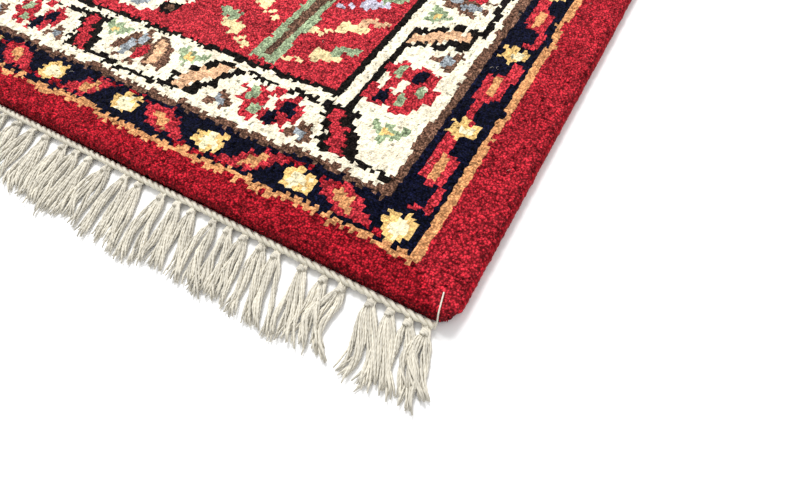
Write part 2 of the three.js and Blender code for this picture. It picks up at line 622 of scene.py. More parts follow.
# %% Turn the design
BORDER_U = 50
BORDER_V = 48
STRIPE_FROM = 13
STRIPE_TO = 23
corner_rows = slice(STRIPE_TO, BORDER_V)
stripe = design[corner_rows, STRIPE_FROM:STRIPE_TO]
design[corner_rows, COLS - STRIPE_TO : COLS - STRIPE_FROM] = stripe[:, ::-1]
turned = design[::-1, ::-1].copy()
far_half = slice(ROWS // 2, ROWS)
side_rows = slice(BORDER_V, ROWS - BORDER_V)
far_rows = slice(ROWS - BORDER_V, ROWS)
left_side = slice(COLS - BORDER_U, COLS)
design[far_half, BORDER_U:] = turned[far_half, BORDER_U:]
design[side_rows, left_side] = turned[side_rows, left_side]
design[far_rows, :BORDER_U] = turned[far_rows, :BORDER_U]
design = design[TRIM:-TRIM]
KEPT = len(design)
shares = {x: int((design == n).sum()) for n, x in enumerate(LETTERS)}
print("knots of each wool:", shares)

# %% [markdown]
# ## Meshes from arrays
# Nearly a hundred thousand knots are too many to model one by one, so their corners are worked out
# in arrays and turned into meshes at once. Faces come in groups with the same number of corners.

# %% Mesh helpers


def make_object(name, points, face_groups, smooth_groups=1):
    mesh = bpy.data.meshes.new(name)
    corners = np.concatenate([np.asarray(g).ravel() for g in face_groups])
    totals = np.concatenate([np.full(len(g), np.asarray(g).shape[1]) for g in face_groups])
    starts = np.concatenate([[0], np.cumsum(totals)[:-1]])
    mesh.vertices.add(len(points))
    mesh.vertices.foreach_set("co", np.asarray(points, np.float32).ravel())
    mesh.loops.add(len(corners))
    mesh.loops.foreach_set("vertex_index", corners.astype(np.int32))
    mesh.polygons.add(len(totals))
    mesh.polygons.foreach_set("loop_start", starts.astype(np.int32))
    mesh.update(calc_edges=True)
    smooth_faces = sum(len(g) for g in face_groups[:smooth_groups])
    mesh.polygons.foreach_set("use_smooth", np.arange(len(totals)) < smooth_faces)
    mesh.validate()
    piece = bpy.data.objects.new(name, mesh)
    bpy.context.collection.objects.link(piece)
    return piece


def face_colours(piece, name, colours):
    layer = piece.data.attributes.new(name, "FLOAT_COLOR", "FACE")
    full = np.ones((len(colours), 4), np.float32)
    full[:, :3] = colours
    layer.data.foreach_set("color", full.ravel())


def point_values(piece, name, values):
    layer = piece.data.attributes.new(name, "FLOAT", "POINT")
    layer.data.foreach_set("value", np.asarray(values, np.float32).ravel())


def corner_map(piece, name, places):
    layer = piece.data.uv_layers.new(name=name)
    layer.uv.foreach_set("vector", np.asarray(places, np.float32).ravel())


def triangles(piece):
    piece.data.calc_loop_triangles()
    return len(piece.data.loop_triangles)


def unit(vectors):
    return vectors / np.linalg.norm(vectors, axis=-1, keepdims=True)


print("helpers ready")

# %% [markdown]
# ## The pile's form
# The pile stands upright on the ground, is clipped level, and rolls over at its edges.
# Seen along the rug, its surface climbs a short wall, goes round an edge, runs flat,
# and comes down again. Knot lines are laid along that path in both directions,
# so the wall at the end has knots as well. At the sides the pile hangs over the cord,
# so its wall there starts higher up.

# %% The pile's form
PILE_INSET = 1.2 * MM
SIDE_FOOT = 4.5 * MM
SIDE_RADIUS = 4 * MM
END_FOOT = 1.2 * MM
END_RADIUS = 1.5 * ROW


def edge_path(half, foot, radius, flat_knots, wall_knots, round_knots):
    steps = np.linspace(foot, RUG_THICK - radius, wall_knots + 1)[:-1]
    angles = np.linspace(0, np.pi / 2, round_knots + 1)[:-1]
    rising = [(half, z, 1.0, 0.0) for z in steps]
    turning = [
        (half - radius * (1 - np.cos(a)), RUG_THICK - radius * (1 - np.sin(a)), np.cos(a), np.sin(a))
        for a in angles
    ]
    out = np.array(rising + turning)
    flat = np.linspace(-half + radius, half - radius, flat_knots + 1)
    top = np.column_stack([flat, np.full_like(flat, RUG_THICK), 0 * flat, np.ones_like(flat)])
    return np.vstack([out * [-1, 1, -1, 1], top, out[::-1]])


PILE_HALF_X = RUG_WIDTH / 2 - PILE_INSET
ACROSS = edge_path(PILE_HALF_X, SIDE_FOOT, SIDE_RADIUS, flat_knots=COLS - 4, wall_knots=1, round_knots=2)
ALONG = edge_path(RUG_LENGTH / 2, END_FOOT, END_RADIUS, flat_knots=KEPT - 3, wall_knots=2, round_knots=2)
print(f"{len(ACROSS) - 1} knot columns by {len(ALONG) - 1} knot rows on the pile's skin")

# %% [markdown]
# Every knot has two cut ends, so its cell has two high points, and low points at its four corners
# that it shares with its neighbours. Small random shifts keep the tufts from looking machined.
# The corner of the rug is a little rounded, so points there are drawn in to an arc.
# Along the sides the pile lies in soft ridges, one after the other.
# Each point also gets a painted light value, from painted shade in a hollow to a painted highlight on a
# tip. The side ridges are painted light on their crests and dark in their troughs, and the end walls get
# more painted shade.

# %% Tufts
VALLEY = -0.9 * MM
TIP = -0.1 * MM
UNEVEN_HEIGHT = 0.4 * MM
VALLEY_STRAY = 0.75
TIP_SHARES = (0.27, 0.73)
TIP_STRAY_ACROSS = 0.14
TIP_STRAY_ALONG = 0.3
# Painted light at the hollows and at the tips: painted shade in the hollows, painted highlights on the
# tips.
LOW_PAINTED_LIGHT = (0, 0.75)
HIGH_PAINTED_LIGHT = (0.45, 1.25)
CORNER_ROUND = 10 * MM
RIDGE = 7 * MM
RIDGE_SHARES = (1.0, 1.0, 0.8, 0.5, 0.25)
# Painted light on the crests of the side ridges and painted shade in their troughs.
RIDGE_PAINTED_LIGHT = 0.4
RIDGE_HIGH = 0.5 * MM
WALL_ROWS = 3
# Painted shade on the end walls.
WALL_PAINTED_SHADE = 0.35


def round_corners(x, y, half_x, half_y):
    side_x = np.abs(x) - (half_x - CORNER_ROUND)
    side_y = np.abs(y) - (half_y - CORNER_ROUND)
    far = np.maximum(np.hypot(side_x, side_y), 1e-9)
    draw = np.where((side_x > 0) & (side_y > 0), np.minimum(1, CORNER_ROUND / far), 1)
    x = np.where(draw < 1, np.sign(x) * (half_x - CORNER_ROUND + side_x * draw), x)
    y = np.where(draw < 1, np.sign(y) * (half_y - CORNER_ROUND + side_y * draw), y)
    return x, y


def on_pile(col_path, row_path, lift):
    x, zx, nx, mx = np.moveaxis(col_path, -1, 0)
    y, zy, ny, my = np.moveaxis(row_path, -1, 0)
    x, y = round_corners(x, y, PILE_HALF_X, RUG_LENGTH / 2)
    normal = unit(np.stack([nx, ny, np.minimum(mx, my)], -1))
    place = np.stack([x, y, np.minimum(zx, zy)], -1)
    return place + normal * lift[..., None]


def stray(reach, shape):
    return rng.uniform(-reach, reach, shape)


n_cols = len(ACROSS) - 1
n_rows = len(ALONG) - 1
shape = (n_rows + 1, n_cols + 1)
valleys = on_pile(
    np.broadcast_to(ACROSS[None], (*shape, 4)),
    np.broadcast_to(ALONG[:, None], (*shape, 4)),
    VALLEY + rng.normal(0, UNEVEN_HEIGHT, shape),
)
valleys[..., :2] += stray(VALLEY_STRAY, (*shape, 2)) * MM


def part_way(path, share):
    start = np.arange(len(path) - 1)
    return path[start] * (1 - share[..., None]) + path[start + 1] * share[..., None]


tips = []
for share in TIP_SHARES:
    across = part_way(ACROSS, share + stray(TIP_STRAY_ACROSS, (n_rows, n_cols)))
    along = part_way(ALONG, 0.5 + stray(TIP_STRAY_ALONG, (n_cols, n_rows))).swapaxes(0, 1)
    tips.append(on_pile(across, along, rng.normal(TIP, UNEVEN_HEIGHT, (n_rows, n_cols))))
tips = np.stack(tips, 2)
# Painted light values: painted shade in the hollows, painted highlights on the tips.
low_painted_light = rng.uniform(*LOW_PAINTED_LIGHT, shape)
high_painted_light = rng.uniform(*HIGH_PAINTED_LIGHT, tips.shape[:3])
ridges = np.sin(2 * np.pi * np.cumsum(rng.uniform(0.7, 1.3, n_rows)) * ROW / RIDGE)
# The side ridges get real height, and also painted light on their crests and painted shade in their
# troughs.
for edge, share in enumerate(RIDGE_SHARES):
    for col in (edge, n_cols - 1 - edge):
        high_painted_light[:, col] += RIDGE_PAINTED_LIGHT * share * ridges[:, None]
        tips[:, col, :, 2] += RIDGE_HIGH * share * ridges[:, None]
# The end walls get painted shade.
for wall in (slice(0, WALL_ROWS), slice(-WALL_ROWS, None)):
    low_painted_light[wall] -= WALL_PAINTED_SHADE
    high_painted_light[wall] -= WALL_PAINTED_SHADE
print(f"{tips.shape[0] * tips.shape[1] * 2} tuft ends")

# %% [markdown]
# ## Colouring the knots
# A knot takes its wool from the design at its place on the rug. Hand-dyed wool varies
# from skein to skein, so whole rows shift a little, soft patches shift as well,
# and each of a knot's two ends shifts a little more. Pale wools are kept calmer,
# because grey shows on them.

# %% Knot colours
KNOT_STRAY = 0.08
SKEIN = 0.05
SKEIN_ROWS = 7
SKEIN_EVEN = 2.6
PATCH_WAVES = 24
PATCH_SIZE = 5 * MM
PATCH_STRENGTH = 0.02
TUFT_SHADE = 0.14
SHADE_LIMITS = (0.6, 1.5)
PALE_CALM = 0.7


def wool_at(points):
    u = (RUG_WIDTH / 2 - points[..., 0]) / KNOT + stray(KNOT_STRAY, points.shape[:-1])
    v = (RUG_LENGTH / 2 + points[..., 1]) / ROW + stray(KNOT_STRAY, points.shape[:-1])
    return design[np.clip(v, 0, KEPT - 1).astype(int), np.clip(u, 0, COLS - 1).astype(int)]


row_shifts = rng.normal(0, 1, n_rows + SKEIN_ROWS - 1)
skein = 1 + SKEIN * np.convolve(row_shifts, np.ones(SKEIN_ROWS) / SKEIN_EVEN, "valid")
knot_x, knot_y = np.moveaxis(tips[:, :, 0, :2], -1, 0)
patch = np.zeros((n_rows, n_cols))
for _ in range(PATCH_WAVES):
    run_x, run_y = rng.normal(0, 1 / PATCH_SIZE, 2)
    patch += PATCH_STRENGTH * np.sin(run_x * knot_x + run_y * knot_y + rng.uniform(0, 2 * np.pi))
tuft_shift = 1 + rng.normal(0, TUFT_SHADE, (n_rows, n_cols, 2))
shade = (skein[:, None] * (1 + patch))[..., None] * tuft_shift
knot_wool = WOOLS[wool_at(tips.mean(2))]
calm = 1 - PALE_CALM * knot_wool.mean(-1)
shade = 1 + (np.clip(shade, *SHADE_LIMITS) - 1) * calm[..., None]
tuft_colour = np.clip(knot_wool[:, :, None] * shade[..., None], 0, 1)
left, right = tuft_colour[:, :, 0], tuft_colour[:, :, 1]
either = np.where(rng.uniform(size=(n_rows, n_cols, 1)) < 0.5, left, right)
knot_colour = np.stack([either, right, either, right, left, right], 2)
print("shades run from", round(float(shade.min()), 2), "to", round(float(shade.max()), 2))

# %% [markdown]
# ## The pile, in five lengths
# The pile is built as five lengthwise strips, so no mesh is too heavy. Neighbours have the same
# edge points, so they meet without a gap. Each strip is closed below, where it meets the ground.
# A knot is six triangles between its corners a, b, c and d and its two tips p and q.

# %% Pile strips
STRIPS = 5
PILE_FOOT = 3.2 * MM


def closing_faces(count_rows, count_cols, first):
    """Faces that close a grid of points from below, given where its copy of the rim starts."""
    index = np.arange(count_rows * count_cols).reshape(count_rows, count_cols)
    rim = np.concatenate([index[0, :], index[1:, -1], index[-1, -2::-1], index[-2:0:-1, 0]])
    low = first + np.arange(len(rim))
    walls = np.column_stack([rim, low, np.roll(low, -1), np.roll(rim, -1)])
    right = low[count_cols - 1 : count_cols + count_rows - 1]
    left = np.concatenate([[low[0]], low[: 2 * count_cols + count_rows - 4 : -1]])
    inner = np.column_stack([right[1:-2], left[1:-2], left[2:-1], right[2:-1]])
    near = np.concatenate([low[:count_cols], [right[1], left[1]]])[None, ::-1]
    far_line = low[count_cols + count_rows - 2 : 2 * count_cols + count_rows - 2]
    far = np.concatenate([far_line, [left[-2], right[-2]]])[None, ::-1]
    return rim, walls, inner, near, far


def pile_strip(number):
    cols = slice(number * n_cols // STRIPS, (number + 1) * n_cols // STRIPS)
    wide = cols.stop - cols.start
    low = valleys[:, cols.start : cols.stop + 1].reshape(-1, 3)
    high = tips[:, cols].reshape(-1, 3)
    index = np.arange(len(low)).reshape(n_rows + 1, wide + 1)
    d, c = index[:-1, :-1], index[:-1, 1:]
    a, b = index[1:, :-1], index[1:, 1:]
    p = len(low) + np.arange(n_rows * wide * 2).reshape(n_rows, wide, 2)[..., 0]
    q = p + 1
    knots = np.stack([a, p, q, a, q, b, d, q, p, d, c, q, a, d, p, b, q, c], -1).reshape(-1, 3)
    rim, walls, inner, near, far = closing_faces(n_rows + 1, wide + 1, len(low) + len(high))
    foot = low[rim].copy()
    foot[:, 2] = PILE_FOOT
    points = np.vstack([low, high, foot])
    piece = make_object(f"pile_{number + 1}", points, [knots, walls, inner, near, far])
    colours = knot_colour[:, cols].reshape(-1, 3)
    rest = np.tile(WOOLS[LETTERS.index("d")], (len(piece.data.polygons) - len(colours), 1))
    face_colours(piece, "wool", np.vstack([colours, rest]))
    # The points carry painted light: painted shade in the hollows and painted highlights on the tips. The
    # foot under the pile gets the darkest painted shade.
    painted_hollows = low_painted_light[:, cols.start : cols.stop + 1].ravel()
    painted_light = np.concatenate([painted_hollows, high_painted_light[:, cols].ravel(), 0 * rim])
    point_values(piece, "painted_light", painted_light)
    spread = (points[:, :2] - points[:, :2].min(0)) / np.ptp(points[:, :2], axis=0)
    order = np.empty(len(piece.data.loops), np.int32)
    piece.data.loops.foreach_get("vertex_index", order)
    corner_map(piece, "OFBake", spread[order])
    return piece


pile = [pile_strip(n) for n in range(STRIPS)]
print("pile triangles:", [triangles(p) for p in pile])

# %% [markdown]
# ## The woven ground
# Under the pile is a plain weave of cotton, and each knot goes round two of its threads.
# That is why the design also shows on the back. The back is a coarser grid, one cell to four knots,
# flat on the floor, and closed above inside the pile.

# %% The woven ground
GROUND_TOP = 3.4 * MM
GROUND_HALF_X = RUG_WIDTH / 2 - SELVEDGE_WIDE - SEAM
GROUND_INSET = 1 * MM
GROUND_HALF_Y = RUG_LENGTH / 2 - GROUND_INSET
BACK_SHADE = 0.8
back_x = np.linspace(-1, 1, COLS // 2 + 1) * GROUND_HALF_X
back_y = np.linspace(-1, 1, KEPT // 2 + 1) * GROUND_HALF_Y
gx, gy = round_corners(*np.meshgrid(back_x, back_y), GROUND_HALF_X, GROUND_HALF_Y)
back = np.stack([gx, gy, 0 * gx], -1).reshape(-1, 3)
index = np.arange(len(back)).reshape(gx.shape)
cells = np.stack([index[:-1, :-1], index[1:, :-1], index[1:, 1:], index[:-1, 1:]], -1).reshape(-1, 4)
rim, walls, inner, near, far = closing_faces(*gx.shape, len(back))
upper = back[rim].copy()
upper[:, 2] = GROUND_TOP
closing = [walls[:, ::-1], inner[:, ::-1], near[:, ::-1], far[:, ::-1]]
ground = make_object("rug_ground", np.vstack([back, upper]), [cells, *closing], smooth_groups=0)
seen = design[::2, ::2][:, ::-1].reshape(-1)
rest = np.tile(WOOLS[LETTERS.index("d")], (len(ground.data.polygons) - len(seen), 1))
face_colours(ground, "wool", np.vstack([WOOLS[seen] * BACK_SHADE, rest]))
print("ground triangles:", triangles(ground))

# %% [markdown]
# ## Yarn as tubes
# Threads, plaits and knots are all yarn that follows a path. One function sweeps a ring of points
# along many paths at once. Each tube also gets a map, round it and along it, for its twist.

# %% Tubes


def tubes(name, paths, radii, sides, reference):
    paths = np.asarray(paths, float)
    count, steps, _ = paths.shape
    ahead = unit(np.gradient(paths, axis=1))
    side = unit(np.cross(ahead, np.asarray(reference, float)))
    up = np.cross(side, ahead)
    turn = np.arange(sides) / sides * 2 * np.pi
    ring = np.cos(turn)[:, None] * side[:, :, None] + np.sin(turn)[:, None] * up[:, :, None]
    radii = np.broadcast_to(radii, (count, steps))
    points = paths[:, :, None] + ring * radii[:, :, None, None]
    index = np.arange(count * steps * sides).reshape(count, steps, sides)
    here, there = index[:, :-1], index[:, 1:]
    walls = np.stack([here, np.roll(here, -1, 2), np.roll(there, -1, 2), there], -1).reshape(-1, 4)
    piece = make_object(name, points.reshape(-1, 3), [walls, index[:, 0, ::-1], index[:, -1]])
    lengths = np.cumsum(np.linalg.norm(np.diff(paths, axis=1, prepend=paths[:, :1]), axis=-1), 1)
    round_it = np.broadcast_to(np.arange(sides) / sides, (count, steps - 1, sides))
    start = np.broadcast_to(lengths[:, :-1, None], round_it.shape)
    end = np.broadcast_to(lengths[:, 1:, None], round_it.shape)
    step = 1 / sides
    places = np.stack([round_it, start, round_it + step, start, round_it + step, end, round_it, end], -1)
    caps = np.zeros((count * sides * 2, 2))
    corner_map(piece, "yarn", np.vstack([places.reshape(-1, 2), caps]))
    return piece


print("tubes join rings of points and close both ends")

# %% [markdown]
# ## The plaited ends and their tassels
# At each end the warp threads are plaited along the edge, gathered in bunches and knotted.
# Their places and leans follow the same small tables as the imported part,
# so the threads lie where its locks lie.

# %% Tassel places
FRINGE_IN = 9 * MM
FRINGE_WIDE = RUG_WIDTH - 2 * FRINGE_IN
# From the corner on: millimetres in from the side, degrees of lean to that side, millimetres long.
CORNER_TASSELS = [
    (12.5, 20, 33), (22, 21, 38), (32, 18, 40), (43, 14, 41), (60, 10, 37), (71, 11, 36),
    (85, 18, 41), (102, 21, 43), (112, 18, 43), (124, 15, 39), (135, 17, 40), (146, 20, 41),
    (162, 22, 41), (173, 18, 42), (185, 16, 44), (204, 20, 45), (215, 14, 43), (231, 10, 41),
    (246, 9, 42), (258, 12, 42), (270, 17, 43), (287, 22, 44),
]
# Past the table, the least and the spread of each: pitch, lean and length.
REST_PITCH = (11.5, 5)
REST_LEAN = (9, 10)
REST_LONG = (37, 7)


# The same uneven number from 0 to 1 for the same count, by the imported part's own rule.
def uneven(count, kind):
    wave = math.sin(count * 12.9898 + kind * 78.233) * 43758.5453
    return wave - math.floor(wave)


def from_range(limits, count, kind):
    least, spread = limits
    return least + spread * uneven(count, kind)


def tassel_rows():
    rows = list(CORNER_TASSELS)
    last = RUG_WIDTH / MM - rows[0][0]
    inward = rows[-1][0] + from_range(REST_PITCH, 0, 1)
    n = 1
    while inward < last:
        rows.append((inward, from_range(REST_LEAN, n, 2), from_range(REST_LONG, n, 3)))
        inward += from_range(REST_PITCH, n, 1)
        n += 1
    return rows


tassels = tassel_rows()
print(len(tassels), "tassels at each end")

# %% [markdown]
# A fringe is worked out as if it grew along +Y, then the near one is turned half a turn
# about the upright axis. The plait is two cords twisted together. A tassel has five strands
# of four twisted threads. They leave the plait, are gathered in a knot of a little over two wraps,
# and fan out on the floor with the waves that the weave left in them.

# %% Fringe forms
STRANDS = 5
PER_STRAND = 4
THREADS = STRANDS * PER_STRAND
TWIST = 9
THREAD_STEPS = 12
THREAD_RADIUS = 0.62 * MM
PLAIT_RADIUS = 1.2 * MM
PLAIT_TURN = 10 * MM
PLAIT_STEPS = 12
PLAIT_OUT = 2.2 * MM
PLAIT_UP = 3.2 * MM
PLAIT_WIDE = 1.0 * MM
PLAIT_HIGH = 0.85 * MM
KNOT_RADIUS = 0.75 * MM
WRAP_TURNS = 2.3
WRAP_STEPS = 24
# Lengths from here on are in millimetres: a knot's wraps, and where threads start, draw in and open.
HALF_WIDTH = RUG_WIDTH / 2 / MM
WRAP_OUT = 6.0
WRAP_PITCH = 0.16
WRAP_WIDE = 1.7
WRAP_UP = 2.3
WRAP_HIGH = 1.5
ROOT_OUT = 2.4
DRAWN_OUT = 6.8
DRAWN_REACH = 2.6
OPEN_OUT = 8
FAN_ROOT = 1.7
FAN_TIP = 5.5
FAN_CURVE = 0.55
PLY_WIDE = 0.95
PLY_HIGH = 0.7
FRAY = 1.3
FRAY_FROM = 0.7
PHASE = 6.3


def placed(points, near):
    out = points.copy()
    out[..., 1] += RUG_LENGTH / 2 + SEAM
    return out * [-1, -1, 1] if near else out


def plait_paths():
    turns = FRINGE_WIDE / PLAIT_TURN
    run = np.linspace(0, 1, int(turns * PLAIT_STEPS))
    paths = []
    for phase in (0, np.pi):
        angle = 2 * np.pi * turns * run + phase + 0.5 * np.sin(run * 90)
        x = (run - 0.5) * FRINGE_WIDE
        y = PLAIT_OUT + PLAIT_WIDE * np.cos(angle)
        z = PLAIT_UP + PLAIT_HIGH * np.sin(angle)
        paths.append(np.column_stack([x, y, z]))
    return np.array(paths)


def knot_paths():
    angle = np.linspace(0, WRAP_TURNS * 2 * np.pi, WRAP_STEPS)
    paths = []
    for inward, lean, _ in tassels:
        tilt = rng.uniform(-0.4, 0.4)
        size = rng.uniform(0.9, 1.2)
        middle = inward - HALF_WIDTH - math.tan(math.radians(lean)) * 3
        across = middle + WRAP_WIDE * size * np.cos(angle)
        out = WRAP_OUT + WRAP_PITCH * angle + tilt * np.cos(angle) + rng.uniform(-0.6, 0.6)
        paths.append(np.column_stack([across, out, WRAP_UP + WRAP_HIGH * np.sin(angle)]) * MM)
    return np.array(paths)


def thread_paths():
    t = np.linspace(0, 1, THREAD_STEPS)
    one_each = (THREADS, 1)
    per_strand = (STRANDS, 1)
    strand = np.arange(THREADS) // PER_STRAND
    paths = []
    for inward, lean, long in tassels:
        turn = -math.radians(lean)
        fan = (np.linspace(-1, 1, STRANDS)[:, None] + rng.normal(0, 0.16, per_strand))[strand]
        layer = rng.uniform(0, 1, per_strand)[strand]
        reach = long + 1.5 + rng.normal(0, 1.5, per_strand)[strand] + rng.normal(0, 1.2, one_each)
        out = ROOT_OUT + reach * math.cos(turn) * t
        gather = np.exp(-(((out - DRAWN_OUT) / DRAWN_REACH) ** 2))
        open_up = np.clip((out - OPEN_OUT) / (long + 1 - OPEN_OUT), 0, 1)
        bend = rng.uniform(0.8, 2.4, per_strand)[strand]
        wave = bend * np.sin(t * rng.uniform(4, 10, per_strand)[strand] + PHASE * layer)
        ply = 2 * np.pi * np.arange(THREADS)[:, None] / PER_STRAND + TWIST * t + PHASE * layer
        fray = rng.normal(0, FRAY, one_each) * np.clip((t - FRAY_FROM) / (1 - FRAY_FROM), 0, 1)
        sway = rng.normal(1.5, 2.8) * np.sin(t * np.pi)
        spread = fan * (FAN_ROOT + FAN_TIP * open_up**FAN_CURVE)
        across = inward - HALF_WIDTH + reach * math.sin(turn) * t
        across = across + spread * (1 - 0.3 * gather) + (wave + sway) * open_up
        across = across + PLY_WIDE * np.cos(ply) * (1 - 0.5 * gather) + fray
        rest = 1.3 + layer * (1.6 - 0.6 * t) + PLY_HIGH * np.sin(ply)
        up = rest * (1 - gather) + gather * (2.2 + 1.1 * np.sin(19 * layer))
        paths.append(np.stack([across, out, np.maximum(up, THREAD_RADIUS / MM)], -1))
    return np.concatenate(paths) * MM


def thread_radii(count):
    t = np.linspace(0, 1, THREAD_STEPS)
    taper = np.where(t > 0.95, 0.6, 1.0)
    return THREAD_RADIUS * taper * rng.uniform(0.85, 1.15, (count, 1))


print("each end has", len(tassels) * THREADS, "threads")

# %% [markdown]
# Both ends are built in the same way, each with its own random threads.

# %% Build both fringes
fringe = {}
for end in ("near", "far"):
    near = end == "near"
    plait = tubes(f"plait_{end}", placed(plait_paths(), near), PLAIT_RADIUS, 6, (0, 0, 1))
    paths = placed(thread_paths(), near)
    threads = tubes(f"tassels_{end}", paths, thread_radii(len(paths)), 4, (0, 0, 1))
    knots = tubes(f"tassel_knots_{end}", placed(knot_paths(), near), KNOT_RADIUS, 6, (0, 1, 0))
    fringe[end] = (plait, threads, knots)
    print(end, "fringe triangles:", [triangles(p) for p in fringe[end]])

# %% [markdown]
# ## The overcast sides
# Wool is wound round the outer warps to bind each side. The cord's section is an upright oval
# with a flat foot, and a ridge runs round it for every wrap. Wraps are never quite even,
# so each one swells by its own amount. The ends of the cord are drawn in.

# %% The overcast sides
WRAP = 3.4 * MM
WRAP_POINTS = 4
WRAP_SLANT = 0.45
WRAP_GROOVE = 0.14
SELVEDGE_SIDES = 12
SELVEDGE_TOP = 8 * MM
SELVEDGE_SHORT = 5 * MM
SELVEDGE_TAPER = 6 * MM
SELVEDGE_DRAWN = 5 * MM
SELVEDGE_FLOOR = 0.05 * MM


def selvedge(name, side):
    length = RUG_LENGTH - 2 * SELVEDGE_SHORT
    wraps = int(length / WRAP)
    count = wraps * WRAP_POINTS + 1
    y = np.linspace(-length / 2, length / 2, count)
    swell = 1 + rng.normal(0, 0.05, wraps + 2)
    turn = (np.arange(SELVEDGE_SIDES) + 0.5) / SELVEDGE_SIDES * 2 * np.pi - np.pi / 2
    slant = y[:, None] / WRAP + WRAP_SLANT * np.cos(turn)[None] * side
    which = np.clip(np.floor(slant).astype(int) + wraps // 2 + 1, 0, wraps + 1)
    ridge = np.abs(np.sin(np.pi * slant)) ** 0.7
    size = (1 - WRAP_GROOVE + WRAP_GROOVE * ridge) * swell[which]
    ends = np.clip((length / 2 - np.abs(y)) / SELVEDGE_TAPER, 0.2, 1)[:, None] ** 0.5
    half = SELVEDGE_WIDE / 2
    x = np.sign(np.cos(turn)) * np.abs(np.cos(turn)) ** 0.75 * half * size * ends
    z = SELVEDGE_TOP / 2 * (1 + np.sign(np.sin(turn)) * np.abs(np.sin(turn)) ** 0.8 * size * ends)
    middle_x = side * (RUG_WIDTH / 2 - SELVEDGE_WIDE / 2 - (1 - ends) * SELVEDGE_DRAWN)
    points = np.stack([middle_x + x, y[:, None] + 0 * x, np.maximum(z, SELVEDGE_FLOOR)], -1)
    index = np.arange(points.size // 3).reshape(count, SELVEDGE_SIDES)
    here, there = index[:-1], index[1:]
    walls = np.stack([here, there, np.roll(there, -1, 1), np.roll(here, -1, 1)], -1).reshape(-1, 4)
    piece = make_object(name, points.reshape(-1, 3), [walls, index[:1], index[-1:, ::-1]])
    tone = np.clip(1 + rng.normal(0, 0.14, wraps + 2), 0.7, 1.4)[which[:-1]].reshape(-1, 1)
    red = WOOLS[LETTERS.index("d")]
    face_colours(piece, "wool", np.clip(np.vstack([red * tone, [red, red]]), 0, 1))
    # Painted shade in the grooves between the wraps, and painted light on their crests.
    point_values(piece, "painted_light", 0.4 + 0.6 * ridge)
    return piece


selvedges = [selvedge("selvedge_cord_left", -1), selvedge("selvedge_cord_right", 1)]
print("selvedge triangles:", [triangles(p) for p in selvedges])

# %% [markdown]
# ## Loose ends
# A white thread has slipped out at the corner and lies up over the pile, and short pale hairs of wool
# lie here and there on the pile. They are small, but the photograph shows them.

# %% Loose ends
LOOSE_STEPS = 12
LOOSE_RADIUS = 0.4 * MM
# The loose thread in millimetres, and how far along it each place lies.
LOOSE_PLACES = np.array([[324.5, -466, 3], [325, -464.5, 8], [324, -461.5, 12.2], [321.3, -450.5, 12]])
LOOSE_SHARES = [0, 0.3, 0.5, 1.0]
run = np.linspace(0, 1, LOOSE_STEPS)
loose_path = np.column_stack([np.interp(run, LOOSE_SHARES, line) for line in LOOSE_PLACES.T]) * MM
loose = tubes("loose_thread", loose_path[None], LOOSE_RADIUS, 6, (1, 0, 0.2))

HAIRS = 220
HAIR_STEPS = 5
HAIR_RADIUS = 0.07 * MM
HAIR_LIFT = 0.15 * MM
HAIR_ARCH = 0.3 * MM
s = np.linspace(-1, 1, HAIR_STEPS)
start_x = rng.uniform(-0.97, 0.97, (HAIRS, 1)) * PILE_HALF_X
start_y = rng.uniform(-0.985, 0.985, (HAIRS, 1)) * RUG_LENGTH / 2
heading = rng.uniform(0, np.pi, (HAIRS, 1))
forth = rng.uniform(0.8, 2.4, (HAIRS, 1)) * MM * s
aside = rng.normal(0, 0.8, (HAIRS, 1)) * MM * s**2
hair_x = start_x + np.cos(heading) * forth - np.sin(heading) * aside
hair_y = start_y + np.sin(heading) * forth + np.cos(heading) * aside
hair_z = np.full_like(hair_x, RUG_THICK + HAIR_LIFT) + (1 - s**2) * HAIR_ARCH
hairs = tubes("stray_hairs", np.stack([hair_x, hair_y, hair_z], -1), HAIR_RADIUS, 3, (0, 0, 1))
print("loose ends:", triangles(loose), "and", triangles(hairs), "triangles")

# %% [markdown]
# ## Materials
# Wool is matt, with a faint glow at grazing angles from its loose fibres. Its colour is the knot's,
# with painted light on it: cells the size of a tuft get a painted highlight in the middle and painted shade
# at the edges, and larger clumps are painted light and dark, partly as random tone. Hollows get painted
# shade. All this painted light is softened on pale wools, because light goes on into them. Cotton shows the
# twist of its plies, with painted shade in the grooves, and each thread has its own tone.
# One function adds a node and fills its inputs, with a number or with a link from another node.

# %% Materials
CLUMP_PER_TUFT = 2.6
PALE_SOFTEN = 0.95
WOOL_SURFACE = {"Roughness": 0.95, "Specular IOR Level": 0.06, "Sheen Weight": 0.02, "Sheen Roughness": 0.5}
COTTON_SURFACE = {"Roughness": 0.9, "Specular IOR Level": 0.2}
LIMITS = ("From Min", "From Max", "To Min", "To Max")


def add_node(tree, kind, inputs, **settings):
    node = tree.nodes.new(kind)
    for name, value in settings.items():
        setattr(node, name, value)
    for socket, value in inputs.items():
        if isinstance(value, bpy.types.NodeSocket):
            tree.links.new(value, node.inputs[socket])
        else:
            node.inputs[socket].default_value = value
    return node


def empty_material(name):
    material = bpy.data.materials.new(name)
    material.use_nodes = True
    material.node_tree.nodes.clear()
    return material, material.node_tree


def finish_material(tree, inputs):
    surface = add_node(tree, "ShaderNodeBsdfPrincipled", inputs)
    add_node(tree, "ShaderNodeOutputMaterial", {"Surface": surface.outputs["BSDF"]})


def texture(tree, kind, size_mm, inputs):
    place = add_node(tree, "ShaderNodeTexCoord", {}).outputs["Object"]
    return add_node(tree, kind, {"Vector": place, "Scale": 1 / (size_mm * MM), **inputs})


def map_range(tree, value, limits, clamp=True):
    inputs = {"Value": value, **dict(zip(LIMITS, limits))}
    return add_node(tree, "ShaderNodeMapRange", inputs, clamp=clamp).outputs["Result"]


